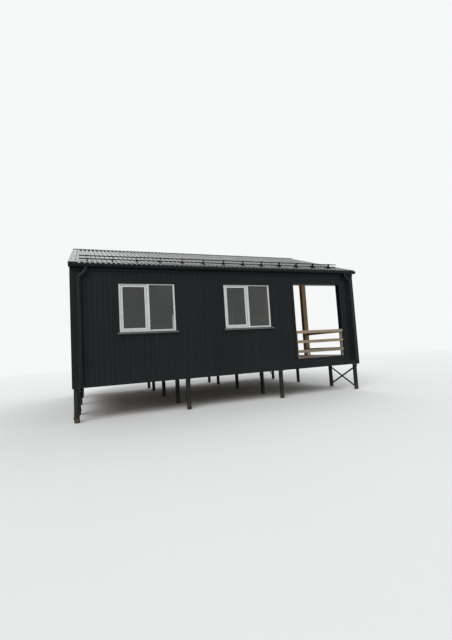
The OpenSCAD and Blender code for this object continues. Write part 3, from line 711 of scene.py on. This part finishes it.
def makeGutterFittings():
    g = gutter
    # the rolled bead on the gutter's front edge, left open below
    bm = bmesh.new()
    profile = [bm.verts.new((0, d / 1000, 0)) for d in (g["bead"], g["bead"] - g["beadThick"])]
    bmesh.ops.spin(bm, geom=[bm.edges.new(profile)], cent=(0, 0, 0), axis=(1, 0, 0),
                   angle=radians(g["beadTurn"]), steps=g["beadSteps"], use_merge=False)
    thicken(bm, list(bm.faces), (g["right"] - g["left"], 0, 0))
    front = g["y"] - g["radius"] + g["bead"] + g["beadGap"]
    beads = bothSides([level(g["left"], front, g["z"])])
    keep("gutter_beads", repeated(bm, beads), "rainwater")

    # hooks: a band under the gutter, a tab on the eave board and a stay over the trough
    bm = bmesh.new()
    w, r = g["hookWidth"] / 2, g["radius"] + g["hookGap"]
    start = Matrix.Rotation(radians(g["hookStart"]), 3, "X")
    corners = [start @ Vector((x, d, 0)) / 1000
               for x, d in ((-w, r), (w, r), (w, r + g["hookThick"]), (-w, r + g["hookThick"]))]
    face = bm.faces.new([bm.verts.new(c) for c in corners])
    bmesh.ops.spin(bm, geom=[face], cent=(0, 0, 0), axis=(1, 0, 0),
                   angle=radians(g["hookTurn"]), steps=g["hookSteps"], use_merge=False)
    strip(bm, -w, w, g["tab"], g["edge"])
    strip(bm, -w, w, g["stay"], g["edge"], 1, spun(g["stayTilt"], "X"))
    drum(bm, *g["screw"], facing(Vector(g["screwAt"]) / 1000, (0, -1, 0)))
    hooks = [level(g["hookFrom"] + i * g["hookStep"], g["y"], g["z"]) for i in range(g["hooks"])]
    keep("gutter_hooks", repeated(bm, bothSides(hooks)), "rainwater")

    # ears and bolts on the pipes' clamps
    c, bm = pipeClamps, bmesh.new()
    near, far, tall = c["earGap"], c["earGap"] + c["earThick"], c["earHalf"]
    left, right = c["radius"] - c["earIn"], c["radius"] + c["ear"]
    for low, high in ((-far, -near), (near, far)):
        strip(bm, left, right, ((low, -tall), (high, tall)), c["edge"])
    lathe(bm, c["bolt"], facing(Vector((c["radius"] + c["boltOut"], 0, 0)) / 1000, (0, 1, 0)))
    flip = Matrix.Scale(-1, 4, (1, 0, 0))
    places = [level(c["x"], g["y"], z) for z in c["heights"]]
    places += [level(plan["length"] - c["x"], g["y"], z) @ flip for z in c["heights"]]
    keep("pipe_clamp_bolts", repeated(bm, bothSides(places)), "rainwater")


makeGutterFittings()
print("gutter fittings made")

guard = dict(
    s=320, heights=(52, 118), tube=12.5, left=190, right=7003.3, firstRib=3.5, ribs=5, brackets=13,
    foot=25.4, footScrews=((-9, -132), (9, -98), (-9, 98), (9, 132)), plugOver=0.9, plugIn=16,
    plugOut=3.5, plugEdge=1.4, collar=(2.3, 7.5), collarOver=3.2, collarEdge=1.2, sides=20,
    hexScrew=(5.2, 1.2, 4.0, 4.0),
)


def makeGuardFittings():
    g = guard
    xs = [-plan["verge"] + (g["firstRib"] + i * g["ribs"]) * plan["rib"]
          for i in range(g["brackets"])]
    screws = [onRoof(x + dx, g["s"] + ds, g["foot"]) for x in xs for dx, ds in g["footScrews"]]
    keepScrews("guard_screws", bothSides(screws), "guard_steel", *g["hexScrew"])

    plug = bmesh.new()
    drum(plug, g["tube"] + g["plugOver"], -g["plugIn"], g["plugOut"], g["sides"], g["plugEdge"])
    ends = [onRoof(x, g["s"], n) @ spun(turn, "Y")
            for n in g["heights"] for x, turn in ((g["left"], -90), (g["right"], 90))]
    keep("guard_tube_plugs", repeated(plug, bothSides(ends)), "seal")

    # pressed collars hold each tube at every bracket
    collar = bmesh.new()
    near, far = g["collar"]
    for low, high in ((near, far), (-far, -near)):
        drum(collar, g["tube"] + g["collarOver"], low, high, g["sides"], g["collarEdge"])
    places = [onRoof(x, g["s"], n) @ spun(90, "Y") for x in xs for n in g["heights"]]
    keep("guard_collars", repeated(collar, bothSides(places)), "guard")


makeGuardFittings()
print("snow guard fittings made")

# sashPane, fixedPane and sashFace are how far the seals lie behind the wall's face; the shade
# tape, drainCap, sillBoard, nosing and endCap are corners (y, z) from the window's lower left
windows = dict(
    xs=(965, 3405), z=1109, width=1230, height=1078, frame=38, sash=45, sashWidth=560, mullion=54,
    seal=4.5, sealThick=3.6, sealGap=0.3, sashPane=31.5, fixedPane=17.5, sashFace=16.2,
    shadeTape=((-7.4, -11.2), (-5.2, -0.8)), shadeTapeIn=2, shadeTapeEdge=0.6, drainCaps=(230, 470, 800, 1060),
    drainCap=((1.2, 13), (5.4, 25)), drainWidth=30, drainEdge=1.6,
    sillBoard=((65.4, 0.4), (152.0, 20)), sillBoardIn=1, sillBoardEdge=0.8,
    nosing=((150.4, -2), (205, 20)), nosingOut=40, nosingEdge=7,
    endCap=((-3.4, -1), (-61, -20), (-61, -44), (-3.4, -30)), endCapOut=50, endCapThick=3,
)


def makeWindowFittings():
    w = windows
    places = [level(x, 0, w["z"]) for x in w["xs"]]
    places.append(toBack @ places[1])
    width, low, top = w["width"], w["frame"], w["height"] - w["frame"]
    sashRight = low + w["sashWidth"]
    fixed = sashRight + w["mullion"]

    # seals round the sash's pane, round the fixed pane and round the sash itself; the last
    # is partly a seal, partly painted shade for the shadow groove between sash and frame
    inner = w["sash"] + w["sealGap"]
    seals = (((low + inner, low + inner), (sashRight - inner, top - inner), w["sashPane"]),
             ((fixed, low), (width - low, top), w["fixedPane"]),
             ((low, low), (sashRight, top), w["sashFace"]))
    bm = bmesh.new()
    for first, last, front in seals:
        band(bm, first, last, w["seal"], w["sealThick"], Matrix.Translation((0, front / 1000, 0)))
    # shade tape between the frame and the sill: a black strip, partly seal tape and partly
    # painted shade that darkens the gap under the frame
    strip(bm, w["shadeTapeIn"], width - w["shadeTapeIn"], w["shadeTape"], w["shadeTapeEdge"])
    keep("window_seals_and_shade", repeated(bm, places), "seal", 0)

    # drain caps, and the board inside with its round nose
    bm = bmesh.new()
    for x in w["drainCaps"]:
        strip(bm, x, x + w["drainWidth"], w["drainCap"], w["drainEdge"], 2)
    strip(bm, w["sillBoardIn"], width - w["sillBoardIn"], w["sillBoard"], w["sillBoardEdge"])
    strip(bm, -w["nosingOut"], width + w["nosingOut"], w["nosing"], w["nosingEdge"], 3)
    keep("window_boards", repeated(bm, places), "windowPlastic")

    # moulded caps on the sill's ends
    out, thick, bm = w["endCapOut"], w["endCapThick"], bmesh.new()
    for x in (-out - thick, width + out):
        prism(bm, [(x, *corner) for corner in w["endCap"]], (thick, 0, 0))
    keep("sill_end_caps", repeated(bm, places), "trim", 0)


makeWindowFittings()
print("window fittings made")

# across and up are how many screws lie along a trim
trimScrews = dict(
    hexScrew=(5.0, 0.8, 3.4, 2.4), face=-3, beside=35, windowAcross=5, underWindow=57,
    overWindow=25, windowUp=4, windowFirst=90, windowStep=300, openingAcross=6,
    openingRows=(225, 2235), openingUp=6, openingFirst=330, openingStep=360, corner=30,
    cornerFace=-2, cornerUp=7, cornerFirst=120, cornerStep=380,
)


def makeTrimScrews():
    t, w, places = trimScrews, windows, []
    across = t["windowAcross"]
    for x0, back in ((w["xs"][0], False), (w["xs"][1], False), (w["xs"][1], True)):
        spots = [(x0 + k * w["width"] / (across - 1), z) for k in range(across)
                 for z in (w["z"] - t["underWindow"], w["z"] + w["height"] + t["overWindow"])]
        spots += [(x, w["z"] + t["windowFirst"] + k * t["windowStep"])
                  for k in range(t["windowUp"])
                  for x in (x0 - t["beside"], x0 + w["width"] + t["beside"])]
        places += inFront(spots, t["face"], back)
    (left, right), across = plan["opening"], t["openingAcross"]
    spots = [(left + k * (right - left) / (across - 1), z) for k in range(across)
             for z in t["openingRows"]]
    spots += [(x, t["openingFirst"] + k * t["openingStep"]) for k in range(t["openingUp"])
              for x in (left - t["beside"], right + t["beside"])]
    places += bothSides(inFront(spots, t["face"]))
    inward, out, length = t["corner"], t["cornerFace"], plan["length"]
    for z in [t["cornerFirst"] + k * t["cornerStep"] for k in range(t["cornerUp"])]:
        places += bothSides(inFront([(inward, z), (length - inward, z)], out))
        places += bothSides([facing(at(out, inward, z), (-1, 0, 0)),
                             facing(at(length - out, inward, z), (1, 0, 0))])
    keepScrews("trim_screws", places, "graphite_sheet", *t["hexScrew"])


makeTrimScrews()
print("trim screws made")

# steps are the width and rise of each ring pressed into a panel; drip, sill and riser are
# corners (x, z) from the leaf's face and foot, the riser's first one from the deck
door = dict(
    x=4880, sides=(2660.3, 3439.7), foot=270.3, head=2239.7, panels=((390, 1120), (1420, 2130)),
    border=130, panelIn=1, panelOut=5, steps=((22, -4), (28, 4)), drip=((0.2, 16), (14, 28)),
    dripIn=8, dripEdge=3, seal=5.0, sealThick=3.0, sealGap=0.2, sealIn=2, hinges=(450, 1250, 2050),
    hingeOut=9.4, hingeIn=2, hingeEdge=1.0,
    barrel=((7.5, -50, 50, 16, 1.5), (5.0, 50.5, 55, 12, 1.0), (5.0, -55, -50.5, 12, 1.0)),
    hingeLeaf=((-9.2, -34, -42), (-5.5, -1, 42)), lock=(2720, 1195), lockOut=8.3,
    cylinder=((13, 0, 3, 24, 1.0), (8.5, 3, 7, 24, 0.8)), keyway=((-5, -1.2, 6.5), (5, 1.2, 7.6)),
    sill=((0.4, 0), (13, 2)), riser=((10.3, 2), (12.3, 0.4)), sillEdge=0.6,
)


def makeDoorFittings():
    d = door
    (left, right), face, foot = d["sides"], d["x"], d["foot"]
    # two fields, each with a moulded border and a raised middle
    bm = bmesh.new()
    for low, high in d["panels"]:
        verts = slab(bm, (face - d["panelIn"], left + d["border"], low),
                     (face + d["panelOut"], right - d["border"], high), place=cabin)
        field = max({f for v in verts for f in v.link_faces},
                    key=lambda f: f.calc_center_median().x)
        for width, rise in d["steps"]:
            bmesh.ops.inset_individual(bm, faces=[field], thickness=width / 1000,
                                       depth=rise / 1000)
    # drip bar at the leaf's foot
    (near, low), (far, high) = d["drip"]
    slab(bm, (face + near, left + d["dripIn"], foot + low),
         (face + far, right - d["dripIn"], foot + high), d["dripEdge"], 2, cabin)
    keep("door_panels", bm, "doorSheet", 25)

    gap, bm = d["sealGap"], bmesh.new()
    band(bm, (left - gap, foot - gap), (right + gap, d["head"] + gap), d["seal"], d["sealThick"],
         level(face + d["sealIn"], 0, 0) @ spun(90, "Z"))
    keep("door_seal", bm, "seal", 0)

    # hinges: a barrel with two end knobs, and the leaf on the door
    bm = bmesh.new()
    lathe(bm, d["barrel"])
    slab(bm, *d["hingeLeaf"], d["hingeEdge"])
    hinges = [level(face + d["hingeOut"], right + d["hingeIn"], z) for z in d["hinges"]]
    keep("door_hinges", repeated(bm, hinges), "zinc")

    # lock cylinder in its rose
    bm = bmesh.new()
    lathe(bm, d["cylinder"])
    slab(bm, *d["keyway"])
    lock = facing(at(face + d["lockOut"], *d["lock"]), (1, 0, 0))
    keep("door_lock", repeated(bm, [lock]), "handle")

    # threshold plate over the frame's foot, and its riser from the deck up
    bm = bmesh.new()
    for (near, low), (far, high), start in ((*d["sill"], foot), (*d["riser"], deck["high"])):
        slab(bm, (face + near, left, start + low), (face + far, right, foot + high),
             d["sillEdge"], 1, cabin)
    keep("door_threshold", bm, "zinc")


makeDoorFittings()
print("door fittings made")

timberJoints = dict(
    posts=(2280, 3670), postX=7235, postWidth=150, firstPair=4890, pairStep=2375 / 3, pairs=3,
    pairWidth=45, collarY=1660, collarZ=3130, ridgeZ=3635,
)
# half sizes of a plate and of a tooth, their low and high faces, the teeth's steps and
# how many of them lie to each side of the middle
nailPlate = dict(
    half=(52, 80), faces=(0.1, 1.1), tooth=(1.4, 5), toothFaces=(1.0, 1.8), steps=(19, 21),
    count=(2, 3),
)
postAngle = dict(
    half=30, leg=62, rise=92, thick=3.2, edge=0.8,
    postScrews=((-15, 40), (15, 72), (-15, 78), (15, 34)), deckScrews=(-14, 14), deckScrewOut=38,
    postHead=(5, 3.2, 6.8, 6, 0.8), deckHead=(6, 3.2, 8, 6, 0.8),
)
postStrap = dict(
    x=7310.1, thick=2.5, half=30, low=2985, high=3155, edge=0.6, screws=(3005, 3040, 3100, 3135),
    screwSide=15, screw=(5, 0, 3.4, 6, 0.8),
)
railing = dict(
    boards=(942, 690, 438), face=5, endScrews=((12, 16), (33, -16)), sideFace=7250,
    sideScrews=((170, 16), (205, -16), (2225, 16), (2260, -16)), screw=(4.6, -1.0, 0.7, 8, 0.6),
)


def anglePattern():
    # a bent angle with a leg on the deck and a leg on the post, screwed in both
    a, bm = postAngle, bmesh.new()
    half, thick = a["half"], a["thick"]
    slab(bm, (-half, 0, 0), (half, a["leg"], thick), a["edge"])
    slab(bm, (-half, 0, 0), (half, thick, a["rise"]), a["edge"])
    for x, z in a["postScrews"]:
        drum(bm, *a["postHead"], facing(Vector((x, 0, z)) / 1000, (0, 1, 0)))
    for x in a["deckScrews"]:
        spot = Matrix.Translation(Vector((x, a["deckScrewOut"], 0)) / 1000)
        drum(bm, *a["deckHead"], spot)
    return bm


def platePattern():
    # a thin plate with rows of pressed teeth, seen from outside
    n, bm = nailPlate, bmesh.new()

    def block(x, y, half, faces):
        slab(bm, (x - half[0], y - half[1], faces[0]), (x + half[0], y + half[1], faces[1]))

    block(0, 0, n["half"], n["faces"])
    (down, across), (rows, columns) = n["steps"], n["count"]
    for row in range(-rows, rows + 1):
        for column in range(-columns, columns + 1):
            block(row * down, column * across, n["tooth"], n["toothFaces"])
    return bm


def makeTimberFittings():
    t = timberJoints
    x, z = t["postX"], deck["high"]
    places = [level(x, y + t["postWidth"], z) for y in t["posts"]]
    places += [level(x, y, z) @ spun(180, "Z") for y in t["posts"]]
    keep("post_angles", repeated(anglePattern(), places), "zinc")

    # nail plates on both faces of the rafters' joints
    tilt = plan["roofAngle"]
    spots = ((t["collarY"], t["collarZ"], tilt), (plan["depth"] / 2, t["ridgeZ"], 0.0),
             (plan["depth"] - t["collarY"], t["collarZ"], -tilt))
    places = []
    for i in range(1, t["pairs"] + 1):
        x = t["firstPair"] + i * t["pairStep"]
        for y, z, turn in spots:
            for side, outward in ((x, -1), (x + t["pairWidth"], 1)):
                stand = spun(turn, "X") @ facing(Vector(), (outward, 0, 0))
                places.append(level(side, y, z) @ stand)
    keep("nail_plates", repeated(platePattern(), places), "zinc", 0)

    # straps that hold the posts to the outer pair's tie
    p, bm = postStrap, bmesh.new()
    outer = p["x"] + p["thick"]
    for y in t["posts"]:
        middle = y + t["postWidth"] / 2
        slab(bm, (p["x"], middle - p["half"], p["low"]), (outer, middle + p["half"], p["high"]),
             p["edge"], 1, cabin)
        for z in p["screws"]:
            for side in (-p["screwSide"], p["screwSide"]):
                drum(bm, *p["screw"], facing(at(outer, middle + side, z), (1, 0, 0)))
    keep("post_straps", bm, "zinc")

    # screws through the boards into the uprights and posts
    r, (left, right), heads = railing, plan["opening"], []
    for z in r["boards"]:
        for dx, dz in r["endScrews"]:
            heads += inFront([(x, z + dz) for x in (left + dx, right - dx)], r["face"])
        for y, dz in r["sideScrews"]:
            heads.append(facing(at(r["sideFace"], y, z + dz), (1, 0, 0)))
    head = bmesh.new()
    drum(head, *r["screw"])
    keep("railing_screws", repeated(head, bothSides(heads)), "zinc")


makeTimberFittings()
print("terrace timber fittings made")

# bars are the ends of one crossed bar as (y, z); the other bar is its mirror at barMiddle
pileFittings = dict(
    xs=(75, 2440, 4880, 7245), ys=(120, 1200, 3050, 4900, 5980), weldRun=55, weld=5.5, weldLow=9.5,
    weldSides=6, weldSteps=28, boltOut=49, barFace=60.3, bars=((120, -60), (1200, -600)),
    barMiddle=-330,
    capBolt=((11, -10.5, -8, 12, 0.0), (9, -18, -10.5, 6, 1.0), (5.5, -24, -18, 8, 0.8)),
    barBolt=((15, 0, 2.5, 16, 0.0), (10, 2.5, 10, 6, 1.0), (6, 10, 15, 8, 0.8)),
)


def makePileFittings():
    p = pileFittings
    piles = [level(x, y, 0) for x in p["xs"] for y in p["ys"]]
    # a weld bead under each cap
    bm = bmesh.new()
    made = bmesh.ops.create_circle(bm, cap_ends=False, segments=p["weldSides"],
                                   radius=p["weld"] / 1000)["verts"]
    run = Matrix.Translation((p["weldRun"] / 1000, 0, -p["weldLow"] / 1000))
    bmesh.ops.transform(bm, verts=made, matrix=run @ spun(90, "X"))
    bmesh.ops.spin(bm, geom=list(bm.edges), cent=(0, 0, 0), axis=(0, 0, 1),
                   angle=radians(360), steps=p["weldSteps"], use_merge=True)
    keep("pile_welds", repeated(bm, piles), "pile")

    # bolts through the caps' corners: a washer, a nut and the thread's end
    bm = bmesh.new()
    out = p["boltOut"] / 1000
    for x in (-out, out):
        for y in (-out, out):
            lathe(bm, p["capBolt"], Matrix.Translation((x, y, 0)))
    keep("pile_cap_bolts", repeated(bm, piles), "zinc")

    # bolts at the ends of the bracing bars
    places = []
    for x in (p["xs"][0], p["xs"][-1]):
        for y, z in p["bars"]:
            mirrored = 2 * p["barMiddle"] - z
            places.append(facing(at(x + p["barFace"], y, z), (1, 0, 0)))
            places.append(facing(at(x - p["barFace"], y, mirrored), (-1, 0, 0)))
    bm = bmesh.new()
    lathe(bm, p["barBolt"])
    keep("bracing_bolts", repeated(bm, bothSides(places)), "zinc")


makePileFittings()
print("pile fittings made")

# a lamp has its power, its turn and the width of its sun in degrees
stageLook = dict(
    floorColour=(224, 225, 224), floorRadius=70.0, floorDrop=0.001, fadeFrom=12.0, fadeTo=40.0,
    backColour=(0.93, 0.94, 0.94, 1.0), skyColour=(0.96, 0.98, 1.0, 1.0), sky=0.62,
    lamps={"key_lamp": (1.7, (48, 0, -38), 40), "fill_lamp": (0.8, (52, 0, 150), 60)},
)


def makeStage():
    look, bm = stageLook, bmesh.new()
    bmesh.ops.create_circle(bm, cap_ends=True, segments=96, radius=look["floorRadius"])
    mesh = bpy.data.meshes.new("studio_floor")
    bm.to_mesh(mesh)
    bm.free()
    floor = addObject("studio_floor", mesh)
    floor.location.z = -look["floorDrop"]
    f = Finish("studio_floor", 0.2)
    f.coat(f.shade(look["floorColour"], 0.985 + f.noise(0.4, 2.0) * 0.03),
           0.85 + f.noise(0.7, 2.0) * 0.1)
    # far off, the floor fades into the pale background
    far = (f.axis("X") * f.axis("X") + f.axis("Y") * f.axis("Y")) ** 0.5
    seen = f.add("ShaderNodeLightPath", output="Is Camera Ray")
    glow = f.add("ShaderNodeEmission", {}, {"Color": look["backColour"], "Strength": 1.0})
    mask = far.ramp(look["fadeFrom"], look["fadeTo"]) * seen
    blend = f.add("ShaderNodeMixShader", {}, {0: mask, 1: Wire(f, f.shader.outputs[0]), 2: glow})
    f.links.new(blend.socket, f.nodes["Material Output"].inputs["Surface"])
    mesh.materials.append(f.material)

    world = bpy.data.worlds.new("studio_world")
    bpy.context.scene.world = world
    world.use_nodes = True
    world.node_tree.nodes.clear()
    g = Graph(world.node_tree)
    pale = g.add("ShaderNodeLightPath", output="Is Camera Ray")
    path = pale.socket.node
    for ray in ("Is Glossy Ray", "Is Transmission Ray"):
        pale = pale.larger(Wire(g, path.outputs[ray]))
    sky = g.add("ShaderNodeBackground", {}, {"Color": look["skyColour"], "Strength": look["sky"]})
    back = g.add("ShaderNodeBackground", {}, {"Color": look["backColour"], "Strength": 1.0})
    blend = g.add("ShaderNodeMixShader", {}, {0: pale, 1: sky, 2: back})
    g.add("ShaderNodeOutputWorld", {}, {0: blend})

    for name, (power, turn, spread) in look["lamps"].items():
        lamp = bpy.data.lights.new(name, "SUN")
        lamp.energy = power
        lamp.angle = radians(spread)
        addObject(name, lamp).rotation_euler = [radians(a) for a in turn]


photoView = dict(
    place=(-3.3146, -10.8727, 1.3299), yaw=21.46, pitch=4.65, roll=3.44, focalPixels=350.94,
    imageHeight=640,
)


def makeCamera():
    # the photograph's viewpoint, found from the edges of the walls and the roof
    yaw, pitch, roll = (radians(photoView[a]) for a in ("yaw", "pitch", "roll"))
    ahead = Vector((sin(yaw) * cos(pitch), cos(yaw) * cos(pitch), sin(pitch)))
    right = Vector((cos(yaw), -sin(yaw), 0.0))
    up = right.cross(ahead)
    across = right * cos(roll) - up * sin(roll)
    top = right * sin(roll) + up * cos(roll)
    lens = bpy.data.cameras.new("photo_camera")
    lens.sensor_width = 36.0
    lens.lens = lens.sensor_width * photoView["focalPixels"] / photoView["imageHeight"]
    camera = addObject("photo_camera", lens)
    turn = Matrix((across, top, -ahead)).transposed().to_4x4()
    camera.matrix_world = Matrix.Translation(photoView["place"]) @ turn
    bpy.context.scene.camera = camera


makeStage()
makeCamera()
bpy.context.scene.view_settings.view_transform = "Standard"
print("stage and camera set")
